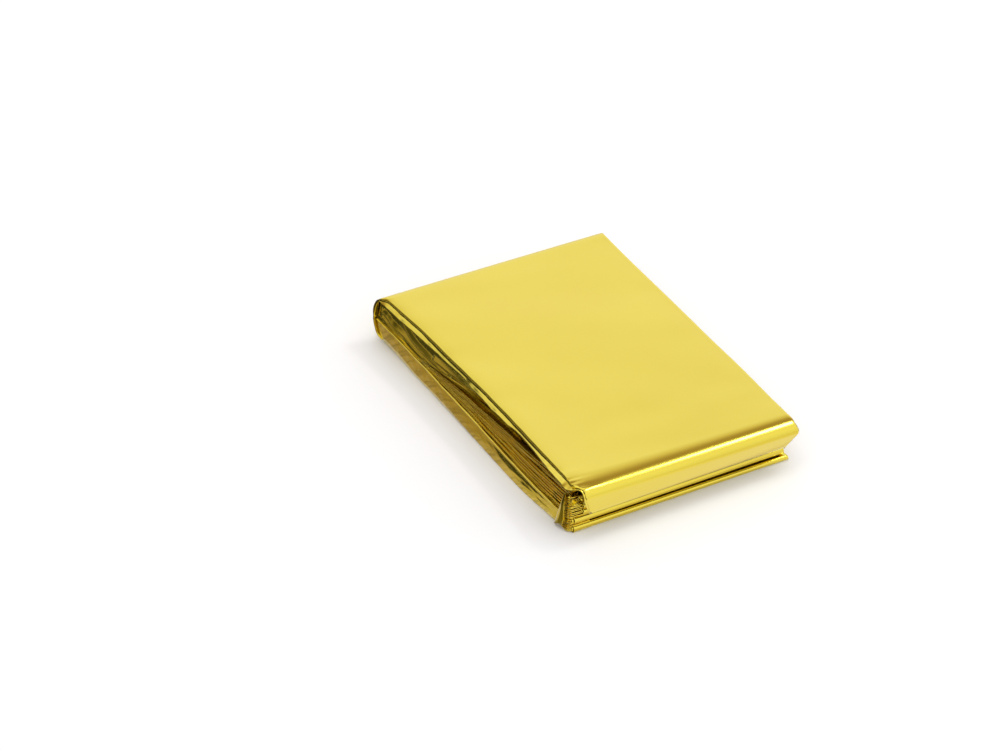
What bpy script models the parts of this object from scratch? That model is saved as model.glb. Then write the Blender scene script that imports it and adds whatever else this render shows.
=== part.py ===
"""Emergency foil blanket, folded to a pocket packet and lying flat.

One strip of metallised film, its plies taken together as a wall 1 mm thick. From its free edge it
runs up the front, over the front fold, back along the top, round the whole back end, forward along
the bottom, and then back and forth between the two. Metres, +Z up, origin under the middle.
X is the short side, Y the long side, and the front fold faces -Y.
"""

import math

import bmesh
import bpy

MM = 0.001

# Driving dimensions, in millimetres
PACKET_WIDTH = 81.4
PACKET_LENGTH = 131.0
WALL = 1.0

# Height of the top face over each corner: the layers stand loosest at the front left, and the
# looseness falls away towards the back
HEIGHT_FRONT_LEFT = 19.8
HEIGHT_FRONT_RIGHT = 17.0
HEIGHT_BACK_LEFT = 17.2
HEIGHT_BACK_RIGHT = 17.5
CROWN = 0.35
LOOSENESS_FALL = 1.6

# The front fold and the panel that hangs from it over the layers. The whole front end is askew:
# its right end stands back.
FRONT_SKEW = 3.0
FRONT_FOLD_REACH = 4.2
FRONT_FOLD_DEPTH = 3.0
DROP_EDGE_HEIGHT_LEFT = 7.0
DROP_EDGE_HEIGHT_RIGHT = 5.6
DROP_SET_BACK_LEFT = 3.2
DROP_SET_BACK_RIGHT = 4.8
DROP_LEFT_INSETS = (0.3, 3.4, 6.6)
DROP_RIGHT_INSETS = (1.3, 0.2, 2.8)

# The outer panel's turn round the back end, which also bellies out to the left
WRAP_DEPTH = 4.6
WRAP_SQUARENESS = 2.8
WRAP_BELLY = 3.1
BELLY_ROUNDNESS = 0.8

# Where each layer's left edge stands in from the packet's side, at the front, middle and back,
# and its right edge, in millimetres: (layer, front, middle, back, right), bottom layer first
LAYER_EDGES = (
    (0, 0.6, -1.0, 1.2, 0.9),
    (1, 0.4, -1.2, 0.6, 1.3),
    (2, 0.6, -0.6, 0.3, 2.0),
    (3, 0.9, 0.0, 0.2, 2.3),
    (4, 2.3, 2.1, 1.2, 2.1),
    (5, 1.9, 1.7, 0.8, 2.3),
    (6, 2.2, 2.0, 1.3, 2.0),
    (7, 2.0, 2.3, 1.4, 1.5),
    (8, 2.6, 2.9, 2.2, 1.8),
    (9, 3.2, 4.0, 2.8, 1.3),
    (10, 3.0, 4.6, 3.0, 1.5),
    (11, 2.2, 4.0, 2.6, 1.0),
    (12, 0.3, 2.2, 0.4, 1.3),
)

# How far each fold at the front stands back from the front fold: (lower layer, left, right)
FRONT_FOLDS = (
    (0, 5.2, 5.0),
    (2, 5.4, 6.0),
    (4, 5.6, 6.6),
    (6, 5.0, 6.2),
    (8, 4.3, 5.2),
    (10, 3.8, 4.6),
)

# How far each turn at the back stands in from the back end: (lower layer, left, right)
BACK_FOLDS = (
    (1, 3.9, 3.4),
    (3, 2.6, 2.5),
    (5, 2.0, 2.3),
    (7, 2.2, 2.1),
    (9, 2.9, 2.7),
    (11, 4.6, 4.3),
)

TOP_LAYER = len(LAYER_EDGES) - 1
RUN_STEPS = 8
TURN_STEPS = 6
WRAP_STEPS = 12
DROP_STEPS = 4
STATIONS = (0.0, 0.035, 0.08, 0.2, 0.35, 0.5, 0.65, 0.8, 0.93, 1.0)

FOIL_COLOUR = (0.83, 0.68, 0.11, 1.0)
FOIL_ROUGHNESS = 0.18


def clear_scene():
    for old in list(bpy.data.objects):
        bpy.data.objects.remove(old, do_unlink=True)


def foil_material():
    material = bpy.data.materials.new("gold_foil")
    material.use_nodes = True
    shader = material.node_tree.nodes["Principled BSDF"]
    shader.inputs["Base Color"].default_value = FOIL_COLOUR
    shader.inputs["Metallic"].default_value = 1.0
    shader.inputs["Roughness"].default_value = FOIL_ROUGHNESS
    material.diffuse_color = FOIL_COLOUR
    return material


def mix(a, b, share):
    return a + (b - a) * share


def through_three(first, middle, last, share):
    """A parabola through three values, at shares 0, one half and 1."""
    bow = 4.0 * share * (1.0 - share)
    return mix(first, last, share) + bow * (middle - mix(first, last, 0.5))


def top_height(across, y):
    """Height of the top face: across runs 0 to 1 from left to right, y is in millimetres."""
    along = y / PACKET_LENGTH + 0.5
    front = mix(HEIGHT_FRONT_LEFT, HEIGHT_FRONT_RIGHT, math.sqrt(across))
    back = mix(HEIGHT_BACK_LEFT, HEIGHT_BACK_RIGHT, across)
    looseness = (1.0 - along) ** LOOSENESS_FALL
    crown = CROWN * math.sin(math.pi * along) * math.sin(math.pi * across)
    return mix(back, front, looseness) + crown


def layer_height(layer, across, y):
    """Height of a layer's middle surface: all the layers share out the room evenly."""
    return WALL / 2 + layer * (top_height(across, y) - WALL) / TOP_LAYER


def layer_insets(layer, y):
    """How far one layer's left and right edges stand in from the packet's sides."""
    _, front, middle, back, right = LAYER_EDGES[layer]
    along = min(max(y / PACKET_LENGTH + 0.5, 0.0), 1.0)
    return through_three(front, middle, back, along), right


def run(layer, across, y_start, y_end):
    """Points (y, z, left inset, right inset) along one layer up to the next turn."""
    points = []
    for step in range(RUN_STEPS):
        y = mix(y_start, y_end, step / RUN_STEPS)
        points.append((y, layer_height(layer, across, y), *layer_insets(layer, y)))
    return points


def turn(layer, across, y_edge, outward):
    """Half circle from a layer up to the next, outermost at y_edge: outward is -1 or 1."""
    low = layer_height(layer, across, y_edge)
    high = layer_height(layer + 1, across, y_edge)
    radius = (high - low) / 2
    y_middle = y_edge - outward * radius
    insets = list(zip(layer_insets(layer, y_edge), layer_insets(layer + 1, y_edge)))
    points = []
    for step in range(TURN_STEPS):
        share = step / TURN_STEPS
        angle = math.pi * share
        y = y_middle + outward * radius * math.sin(angle)
        z = mix(low, high, (1 - math.cos(angle)) / 2)
        points.append((y, z, *(mix(a, b, share) for a, b in insets)))
    return points, y_middle


def back_wrap(across, y_end):
    """The outer panel's turn from the top layer round the back end to the bottom layer."""
    y_start = y_end - WRAP_DEPTH
    high = layer_height(TOP_LAYER, across, y_start)
    low = WALL / 2
    insets = list(zip(layer_insets(TOP_LAYER, y_start), layer_insets(0, y_start)))
    points = []
    for step in range(WRAP_STEPS):
        share = step / WRAP_STEPS
        angle = math.pi * (0.5 - share)
        reach = math.cos(angle) ** (2 / WRAP_SQUARENESS)
        lift = math.copysign(abs(math.sin(angle)) ** (2 / WRAP_SQUARENESS), angle)
        z = (high + low) / 2 + lift * (high - low) / 2
        left, right = (mix(a, b, share) for a, b in insets)
        left -= WRAP_BELLY * math.sin(math.pi * share) ** BELLY_ROUNDNESS
        points.append((y_start + WRAP_DEPTH * reach, z, left, right))
    return points, y_start


def front_drop(across, y_front):
    """The panel that hangs over the front, from its free edge up to the front fold, and the fold."""
    y_edge = y_front + mix(DROP_SET_BACK_LEFT, DROP_SET_BACK_RIGHT, across)
    z_edge = mix(DROP_EDGE_HEIGHT_LEFT, DROP_EDGE_HEIGHT_RIGHT, across)
    y_middle = y_front + FRONT_FOLD_REACH
    z_middle = layer_height(TOP_LAYER, across, y_middle) - FRONT_FOLD_DEPTH
    flatness = FRONT_FOLD_DEPTH / FRONT_FOLD_REACH
    y_foot, z_foot = y_front, z_middle
    for _ in range(4):
        lean = (y_edge - y_foot) / (z_foot - z_edge)
        turned = math.atan(flatness * lean)
        y_foot = y_middle - FRONT_FOLD_REACH * math.cos(turned)
        z_foot = z_middle - FRONT_FOLD_DEPTH * math.sin(turned)
    points = []
    for step in range(DROP_STEPS):
        share = step / DROP_STEPS
        left = mix(DROP_LEFT_INSETS[2], DROP_LEFT_INSETS[1], share)
        right = mix(DROP_RIGHT_INSETS[2], DROP_RIGHT_INSETS[1], share)
        points.append((mix(y_edge, y_foot, share), mix(z_edge, z_foot, share), left, right))
    for step in range(TURN_STEPS):
        share = step / TURN_STEPS
        angle = mix(-turned, math.pi / 2, share)
        y = y_middle - FRONT_FOLD_REACH * math.cos(angle)
        z = z_middle + FRONT_FOLD_DEPTH * math.sin(angle)
        left = mix(DROP_LEFT_INSETS[1], DROP_LEFT_INSETS[0], min(1.0, 2 * share))
        right = mix(DROP_RIGHT_INSETS[1], DROP_RIGHT_INSETS[0], share)
        points.append((y, z, left, right))
    return points, y_middle


def strip_section(across):
    """The whole strip seen from the side at one place across it."""
    y_front = (WALL - PACKET_LENGTH) / 2 + FRONT_SKEW * across
    y_back = (PACKET_LENGTH - WALL) / 2
    points, y_here = front_drop(across, y_front)
    wrap, y_wrap = back_wrap(across, y_back)
    points += run(TOP_LAYER, across, y_here, y_wrap) + wrap
    y_here = y_wrap
    folds = {layer: mix(left, right, across) for layer, left, right in FRONT_FOLDS + BACK_FOLDS}
    last = TOP_LAYER - 1
    for layer in range(last):
        if layer % 2 == 0:
            half_turn, y_next = turn(layer, across, y_front + folds[layer], -1)
        else:
            half_turn, y_next = turn(layer, across, y_back - folds[layer], 1)
        points += run(layer, across, y_here, y_next) + half_turn
        y_here = y_next
    y_end = y_back - folds[last]
    points += run(last, across, y_here, y_end)
    points.append((y_end, layer_height(last, across, y_end), *layer_insets(last, y_end)))
    return points


def folded_strip(collection):
    """A plain grid laid along the strip's section at each station, thickened to its wall."""
    sections = [strip_section(across) for across in STATIONS]
    rows = len(sections[0])
    columns = len(STATIONS)
    form = bmesh.new()
    bmesh.ops.create_grid(form, x_segments=rows - 1, y_segments=columns - 1, size=0.5)
    for vert in form.verts:
        row = round((vert.co.x + 0.5) * (rows - 1))
        column = round((vert.co.y + 0.5) * (columns - 1))
        y, z, left, right = sections[column][row]
        x = mix(left - PACKET_WIDTH / 2, PACKET_WIDTH / 2 - right, STATIONS[column])
        vert.co = (x * MM, y * MM, z * MM)
    bmesh.ops.recalc_face_normals(form, faces=form.faces)

    low = [min(vert.co[axis] for vert in form.verts) for axis in (0, 1)]
    high = [max(vert.co[axis] for vert in form.verts) for axis in (0, 1)]
    middle = [(a + b) / 2 for a, b in zip(low, high)]
    for vert in form.verts:
        vert.co.x -= middle[0]
        vert.co.y -= middle[1]

    mesh = bpy.data.meshes.new("foil_blanket")
    form.to_mesh(mesh)
    form.free()
    mesh.materials.append(foil_material())
    mesh.shade_smooth()
    blanket = bpy.data.objects.new("foil_blanket", mesh)
    collection.objects.link(blanket)

    wall = blanket.modifiers.new("wall", "SOLIDIFY")
    wall.thickness = WALL * MM
    wall.offset = 0.0
    wall.use_even_offset = True
    return blanket


def main():
    clear_scene()
    collection = bpy.data.collections.new("emergency_foil_blanket")
    bpy.context.scene.collection.children.link(collection)
    folded_strip(collection)


main()
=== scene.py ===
"""Looks of the folded emergency foil blanket, laid out as an add-on and run as a script."""
import math

import bmesh
import bpy
import numpy as np
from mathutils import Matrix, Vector, noise


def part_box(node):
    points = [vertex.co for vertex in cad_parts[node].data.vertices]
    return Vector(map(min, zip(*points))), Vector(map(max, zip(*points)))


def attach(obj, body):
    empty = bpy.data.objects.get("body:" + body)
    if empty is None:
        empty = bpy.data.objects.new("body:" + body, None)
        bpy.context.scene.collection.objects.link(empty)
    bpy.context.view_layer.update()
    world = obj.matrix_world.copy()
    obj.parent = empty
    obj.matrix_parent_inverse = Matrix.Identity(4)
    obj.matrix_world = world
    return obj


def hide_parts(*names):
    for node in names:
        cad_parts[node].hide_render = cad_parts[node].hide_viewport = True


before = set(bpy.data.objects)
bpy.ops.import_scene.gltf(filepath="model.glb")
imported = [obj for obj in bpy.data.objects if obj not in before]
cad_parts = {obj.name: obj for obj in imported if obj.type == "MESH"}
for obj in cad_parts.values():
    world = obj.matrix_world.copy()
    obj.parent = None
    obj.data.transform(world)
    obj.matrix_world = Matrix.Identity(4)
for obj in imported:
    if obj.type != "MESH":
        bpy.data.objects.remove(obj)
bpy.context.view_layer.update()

bl_info = {
    "name": "Folded Foil Blanket",
    "version": (1, 0, 0),
    "blender": (4, 5, 0),
    "location": "View3D > Sidebar > Foil Blanket",
    "description": "Folds a gold foil blanket to a packet, with its plies, pleats and studio",
    "category": "Add Mesh",
}

MM = 0.001
NODE = "foil_blanket"
CAD_LOW, CAD_HIGH = (tuple(corner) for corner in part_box(NODE))

# The packet's sides and ends, from the frame: the turn round the back bellies past the left side
BELLY_PAST_SIDE = 2.33 * MM
LEFT_SIDE = CAD_LOW[0] + BELLY_PAST_SIDE
RIGHT_SIDE = CAD_HIGH[0] + 0.2 * MM
FRONT_END = CAD_LOW[1]
BACK_END = CAD_HIGH[1]
LENGTH = BACK_END - FRONT_END

# Heights of the top face over the corners, as shares of the frame's height
HIGH_FRONT_LEFT = CAD_HIGH[2] * 1.005
HIGH_FRONT_RIGHT = CAD_HIGH[2] * 0.865
HIGH_BACK_LEFT = CAD_HIGH[2] * 0.873
HIGH_BACK_RIGHT = CAD_HIGH[2] * 0.888
CROWN = 0.6 * MM
LOOSENESS_FALL = 1.6

# The front fold, the panel hanging from it, and the turn round the back end
FRONT_SKEW = 3.0 * MM
FOLD_REACH = (8.5 * MM, 6.0 * MM)
FOLD_DEPTH = 3.1 * MM
DROP_EDGE_HEIGHT = (7.7 * MM, 6.8 * MM)
DROP_SET_BACK = (2.0 * MM, 2.7 * MM)
DROP_LEFT_INSETS = (0.7 * MM, 3.0 * MM, 5.7 * MM)
DROP_RIGHT_INSETS = (1.3 * MM, 0.2 * MM, 3.9 * MM)
WRAP_DEPTH = 4.6 * MM
WRAP_SQUARENESS = 2.8
WRAP_BELLY = 3.1 * MM
BELLY_ROUNDNESS = 0.8

# Each layer's height as a share of the room, at the packet's left and right side, and where its
# left edge stands in at the front, middle and back, and its right edge, in millimetres:
# (layer, rise left, rise right, front, middle, back, right), bottom layer first
LAYERS = (
    (0, 0.000, 0.000, 1.1, 1.2, 1.0, 0.9),
    (1, 0.077, 0.053, 1.2, 1.3, 0.8, 1.3),
    (2, 0.143, 0.130, 1.5, 1.6, 0.8, 2.0),
    (3, 0.230, 0.226, 1.6, 2.2, 1.0, 2.3),
    (4, 0.287, 0.291, 5.2, 5.2, 3.2, 2.1),
    (5, 0.352, 0.350, 5.4, 5.3, 3.0, 2.3),
    (6, 0.440, 0.425, 5.3, 5.2, 3.1, 2.0),
    (7, 0.535, 0.520, 5.6, 5.4, 3.2, 1.5),
    (8, 0.628, 0.615, 5.8, 5.3, 3.4, 1.8),
    (9, 0.722, 0.712, 5.6, 5.5, 3.6, 1.3),
    (10, 0.815, 0.808, 5.5, 5.6, 3.5, 1.5),
    (11, 0.908, 0.905, 4.6, 5.2, 3.0, 1.0),
    (12, 1.000, 1.000, 0.3, 2.2, 0.4, 1.3),
)
TOP_LAYER = len(LAYERS) - 1

# How far each turn stands in from its end: (lower layer, left, right), front turns then back turns
TURNS = (
    (0, 5.2, 5.0),
    (2, 5.6, 5.9),
    (4, 5.9, 6.5),
    (6, 5.0, 6.2),
    (8, 4.3, 5.2),
    (10, 3.8, 4.6),
    (1, 2.2, 2.1),
    (3, 1.7, 1.6),
    (5, 1.4, 1.4),
    (7, 1.5, 1.5),
    (9, 1.9, 1.8),
    (11, 3.2, 3.0),
)

# Points along the strip in each stretch
RUN_STEPS = 34
TOP_RUN_STEPS = 78
TURN_STEPS = 10
TURN_SQUARENESS = 3.2
WRAP_STEPS = 22
DROP_STEPS = 8
FOLD_STEPS = 26
FIRST_TOP_ROW = DROP_STEPS + 12
LAST_TOP_ROW = DROP_STEPS + FOLD_STEPS + TOP_RUN_STEPS + WRAP_STEPS // 4

# Soft troughs and ridges in the top face, in millimetres, from one end to the other:
# (x, y, x, y, width, depth), a ridge where the depth is less than nothing
TOP_CREASES = (
    (-34.0, 20.0, 30.0, -34.0, 9.0, 0.13),
    (-30.0, 44.0, 34.0, 4.0, 11.0, -0.11),
    (-12.0, -54.0, 6.0, -30.0, 6.0, 0.12),
    (10.0, -56.0, 34.0, -44.0, 5.0, 0.07),
    (-32.0, -8.0, -6.0, -40.0, 8.0, 0.09),
    (8.0, 40.0, 36.0, 24.0, 7.0, 0.08),
    (-20.0, 58.0, 8.0, 50.0, 6.0, -0.07),
    (-38.0, 52.0, -38.0, -50.0, 4.5, 0.10),
    (40.0, 56.0, 40.0, -48.0, 5.0, 0.10),
)

# Places across one ply, dense near its edges, and the points round a closed edge between plies
ACROSS = (0.0, 0.004, 0.013, 0.03, 0.06, 0.12, 0.22, 0.36, 0.5, 0.64, 0.78, 0.9, 0.96, 0.99, 1.0)
EDGE_TURN_STEPS = 4
PLY_OFFSETS = (-1.0, 0.0, 1.0)
OUTER_PLY = len(PLY_OFFSETS) - 1

# The outer ply's left edge rolls under: place across and how much of the roll it takes
EDGE_ROLL = {0.0: 1.0, 0.004: 0.22, 0.013: 0.05}
ROLL_OFF_EDGE = 0.5
ROLL_SQUARING = 0.2 * MM
ROLL_SHARE = 0.8
OUTER_EDGE_SHORT = 0.14

# How the plies' edges stray: the slow and the quick waves, and how much less they do on top
SLOW_WAVE = 21 * MM
QUICK_WAVE = 6 * MM
QUICK_SHARE = 0.4
RIGHT_WAVE = 24 * MM
WANDER_ON_TOP = 0.3
OUTER_SET_IN = 0.5 * MM

# Uneven film near the left edge: height, wavelength along the strip, and how far in it reaches
CRIMP = (0.22 * MM, 2.6 * MM, 0.05)
CRUMPLE = (0.50 * MM, 1.6 * MM, 0.07)
CRUMPLE_MIDDLE = 8 * MM
CRUMPLE_HALF = 9 * MM
CRUMPLE_FADE = 4 * MM
EDGE_TILT = (0.48 * MM, 0.013)
SAG_REACH = 0.10
DROOP_REACH = 0.06

# The hanging panel's slack as height and wavelengths across and along it. Rows over which it dies
# away, and over which the top's own shape fades in behind the fold and out before the back turn
SLACK = (0.07 * MM, 13 * MM, 9 * MM)
SLACK_FADE_ROWS = 10
TOP_FADE_ROWS = (8, 6)

# How far the plies under the top one show past its left edge, in millimetres: (y, width)
UNDER_EDGE = (
    (-60.0, 1.4), (-48.0, 1.3), (-38.0, 0.9), (-30.0, 0.35), (-23.0, 0.3), (-19.0, 0.9), (0.0, 0.95),
    (7.0, 0.75), (11.0, 0.25), (20.0, 0.45), (35.0, 0.75), (50.0, 1.05), (66.0, 1.4),
)

# The low pleat along the left side, in millimetres, from front to back, x from the packet's side:
# (y, foot x, face x, upper edge x, upper edge height)
LOW_PLEAT = (
    (-57.2, 0.3, 0.1, 0.8, 4.5),
    (-50.0, -0.1, -0.6, 0.3, 4.7),
    (-32.0, -1.2, -1.6, -0.1, 4.9),
    (-5.0, -0.8, -1.4, -0.3, 5.9),
    (23.0, -0.3, -1.1, -0.4, 6.6),
    (40.0, -0.3, -1.0, -0.5, 7.0),
    (52.0, 0.0, -1.0, -0.9, 7.6),
    (60.5, 0.0, -1.3, -1.5, 8.2),
    (64.2, -0.6, -1.6, -1.7, 8.6),
)

# The recessed film over it, in millimetres: (y, top x, deepest x, low x)
RECESS = (
    (-56.5, 4.0, 3.7, 3.0),
    (-30.0, 4.6, 4.1, 3.0),
    (0.0, 4.7, 3.8, 2.4),
    (30.0, 4.1, 2.8, 1.2),
    (50.0, 3.0, 1.8, 0.2),
    (60.5, 1.0, 0.4, -0.9),
    (64.4, -0.6, -0.8, -1.5),
)

# The recess's main creases, in millimetres: rows of (y, height) from the back end forward
CREASES = (
    ((64.2, 13.4), (62.5, 12.0), (60.0, 10.9), (56.0, 9.9), (50.0, 9.3), (40.0, 8.6), (24.0, 8.0)),
    ((64.0, 10.6), (61.0, 9.8), (57.0, 9.1), (52.0, 8.5), (44.0, 8.0)),
    ((54.5, 14.2), (51.5, 12.4), (48.5, 11.2), (44.5, 10.1), (40.5, 9.6), (34.0, 9.3), (18.0, 9.4)),
    ((34.0, 10.0), (27.5, 10.4), (17.7, 11.0), (6.5, 12.0), (-8.0, 13.2), (-24.0, 14.2)),
)
CREASE_ABOVE = 1.5 * MM
CREASE_BELOW = 0.6 * MM
CREASE_FADES = (9.0, 2.5)

# Crinkles over the side's film, in millimetres:
# (height, wavelength, slant, waves down, climb, seed, folded sharp)
PLEAT_UPRIGHT = (
    (0.12, 4.2, 0.6, 1.1, math.inf, 2, False),
    (0.08, 1.9, -1.0, 1.6, math.inf, 3, True),
)
PLEAT_ALONG = (
    (0.14, 17.0, 0.8, 2.6, math.inf, 4, False),
    (0.10, 7.0, 0.0, 4.5, 25.0, 5, True),
)
RECESS_SLOW = ((0.08, 16.0, 0.0, 2.4, 45.0, 7, False),)
RECESS_FINE = ((0.07, 2.6, 0.0, 3.0, math.inf, 10, False),)

# How the side's film is laid: stations along it, points down it, and what is tucked out of sight
SIDE_STEPS = 280
PLEAT_STEPS = 16
PLEAT_LIP = 0.11 * MM
PLEAT_TUCK = 5.0 * MM
PLEAT_TUCK_DROP = 0.3 * MM
PLEAT_FOOT = 0.16 * MM
PLEAT_BELLY = 0.4
PLEAT_EDGE_WAVES = ((0.12 * MM, 9 * MM, 11), (0.05 * MM, 2.5 * MM, 12))
UPRIGHT_FROM = -20 * MM
UPRIGHT_FADE = 50 * MM
RECESS_STEPS = 54
RECESS_TUCK = 2.5 * MM
RECESS_UNDER_TOP = 2.3 * MM
FINE_FROM = 46 * MM
FINE_FADE = 14 * MM
WRAP_CLEARANCE = 0.9 * MM

# The fanned pages on the side: stations, where they start and end, and their place over the pleat
PAGE_STEPS = 90
PAGE_SPAN = (-57.8 * MM, 38.0 * MM)
PAGE_DEPTH = 2.4 * MM
PAGE_SET_IN = 0.9 * MM
PAGE_LIFT = 0.35 * MM

# The pages beside the front panel run along X, then turn back round the corner, in millimetres
CORNER_STEPS = 48
CORNER_X = (-31.5, -37.3)
CORNER_Y = -58.3
CORNER_RADIUS = 0.9
CORNER_TAIL = 5.0
CORNER_FOOT = 0.45
CORNER_PITCH = 0.62 * MM

# The flap over the corner: its point and two feet as (y, z), the gap between its two plies
FLAP_POINT = (-57.4 * MM, 14.4 * MM)
FLAP_LEFT_FOOT = (-52.6 * MM, 0.3 * MM)
FLAP_RIGHT_FOOT = (-56.9 * MM, 2.7 * MM)
FLAP_GAP = 0.35 * MM
FLAP_STEPS = 30
FLAP_PLACES = 10

# Small film ends curled in the gap beside the front panel, in millimetres and degrees:
# (x, height, half width, half height, first angle, last angle, size at the inner end)
CURLS = (
    (-38.7, 13.1, 1.15, 1.60, -80.0, 262.0, 0.10),
    (-36.2, 13.2, 1.30, 1.80, -50.0, 225.0, 0.10),
)
CURL_SPAN = (-62.3 * MM, -60.6 * MM)
CURL_STEPS = 12
CURL_TURN_STEPS = 24
CURL_FILM = 1.8

# The film's finishes: (crinkle scale, stretch along the packet, bump strength, share of deep gold). Deep
# gold is random tone on the top face, and at the larger shares of the side and the recess it is also
# painted shade.
FINISHES = {
    "gold_foil_face": (120.0, 1.5, 0.10, 0.25),
    "gold_foil_side": (420.0, 6.0, 0.75, 0.90),
    "gold_foil_recess": (260.0, 6.0, 0.22, 0.60),
}
CLOUD_SCALE = 45.0
ROUGHNESS_SPREAD = (0.8, 1.25)
BUMP_HEIGHT = 0.05 * MM
CUT_EDGE_SCALE = 300.0
# The cut edge's dark gold-browns, varied along it: painted shade for the dark lines along the plies'
# edges.
CUT_EDGE_SHADED_COLOURS = ((0.20, 0.12, 0.02, 1.0), (0.62, 0.42, 0.06, 1.0))
BLACK = (0.0, 0.0, 0.0, 1.0)


def mix(a, b, share):
    return a + (b - a) * share


def smooth(share):
    share = min(max(share, 0.0), 1.0)
    return share * share * (3.0 - 2.0 * share)


def through_three(front, middle, back, y):
    """A parabola along the packet through its values at the front, middle and back."""
    along = min(max((y - FRONT_END) / LENGTH, 0.0), 1.0)
    bow = 4.0 * along * (1.0 - along)
    return mix(front, back, along) + bow * (middle - mix(front, back, 0.5))


def along_table(table, y):
    """The table's columns at y, in metres, by a smooth curve through its rows (y comes first)."""
    table = sorted(table)
    place = y / MM
    last = len(table) - 2
    index = min(max(sum(row[0] <= place for row in table) - 1, 0), last)
    before, start, end, after = (table[min(max(index + step, 0), last + 1)] for step in (-1, 0, 1, 2))
    t = min(max((place - start[0]) / (end[0] - start[0]), 0.0), 1.0)
    values = []
    for p0, p1, p2, p3 in zip(before[1:], start[1:], end[1:], after[1:]):
        value = 0.5 * (2 * p1 + (p2 - p0) * t + (2 * p0 - 5 * p1 + 4 * p2 - p3) * t * t
                       + (3 * p1 - p0 - 3 * p2 + p3) * t ** 3)
        values.append(value * MM)
    return values


def ripple(place, wavelength, seed):
    """Smooth noise between about -1 and 1 along one line, the same every run."""
    return noise.noise(Vector((place / wavelength, 3.7 * seed, 1.3))) * 2.0


def wrinkle(along, up, seed):
    """Smooth noise between about -1 and 1 over a surface, from places counted in wavelengths."""
    return noise.noise(Vector((along, up, 5.1 * seed))) * 2.0


def crinkles(table, y, share):
    """The height of a table's crinkles at y and that share of the way down, in millimetres."""
    total = 0.0
    for height, wavelength, slant, waves, climb, seed, sharp in table:
        up = share * waves + y / (climb * MM)
        value = wrinkle(y / (wavelength * MM) + slant * share, up, seed)
        total += height * (abs(value) if sharp else value)
    return total


def near_edge(across, reach):
    """Falls from 1 at the left edge to 0 at that place across."""
    return max(1.0 - across / reach, 0.0)


class FoilSettings(bpy.types.PropertyGroup):
    film: bpy.props.FloatProperty(
        name="Film", description="Thickness drawn for one ply of film",
        default=0.09 * MM, min=0.02 * MM, max=0.3 * MM, unit="LENGTH")
    spread: bpy.props.FloatProperty(
        name="Spread", description="Distance between neighbouring plies of one layer",
        default=0.38 * MM, min=0.15 * MM, max=0.6 * MM, unit="LENGTH")
    edge_wander: bpy.props.FloatProperty(
        name="Edge wander", description="How far a ply's edge strays in and out",
        default=0.45 * MM, min=0.0, max=2.0 * MM, unit="LENGTH")
    under_drop: bpy.props.FloatProperty(
        name="Under drop", description="How far the plies under the top one sag along the left edge",
        default=1.0 * MM, min=0.0, max=2.0 * MM, unit="LENGTH")
    droop: bpy.props.FloatProperty(
        name="Droop", description="How far the top ply sinks along its left edge",
        default=0.2025 * MM, min=0.0, max=1.0 * MM, unit="LENGTH")
    gold: bpy.props.FloatVectorProperty(
        name="Gold", description="Colour of the film's metal face",
        default=(0.855, 0.695, 0.055), size=3, min=0.0, max=1.0, subtype="COLOR")
    # Deep gold is mixed in by slow noise, not at creases: random tone on the top face and painted shade
    # on the side and recess films.
    gold_deep_and_shade: bpy.props.FloatVectorProperty(
        name="Deep gold", description="Colour of the metal where the film is creased or worn",
        default=(0.76, 0.55, 0.045), size=3, min=0.0, max=1.0, subtype="COLOR")
    roughness: bpy.props.FloatProperty(
        name="Roughness", description="Roughness of the metal under its clear face",
        default=0.13, min=0.0, max=1.0, subtype="FACTOR")


class SideSettings(bpy.types.PropertyGroup):
    pages: bpy.props.IntProperty(
        name="Pages", description="Number of film edges that show one above the other on the side",
        default=10, min=2, max=40)
    page_pitch: bpy.props.FloatProperty(
        name="Page pitch", description="Height from one film edge to the next at the front",
        default=1.0 * MM, min=0.2 * MM, max=2.0 * MM, unit="LENGTH")
    page_wander: bpy.props.FloatProperty(
        name="Page wander", description="How far the film edges stray in and out",
        default=0.55 * MM, min=0.0, max=2.0 * MM, unit="LENGTH")
    corner_pages: bpy.props.IntProperty(
        name="Corner pages", description="Number of film edges beside the front panel",
        default=20, min=2, max=30)
    crease_depth: bpy.props.FloatProperty(
        name="Crease depth", description="Height of the main creases over the recessed film",
        default=0.45 * MM, min=0.0, max=2.0 * MM, unit="LENGTH")
    seed: bpy.props.IntProperty(
        name="Seed", description="Seed of the uneven film edges", default=5)


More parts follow.
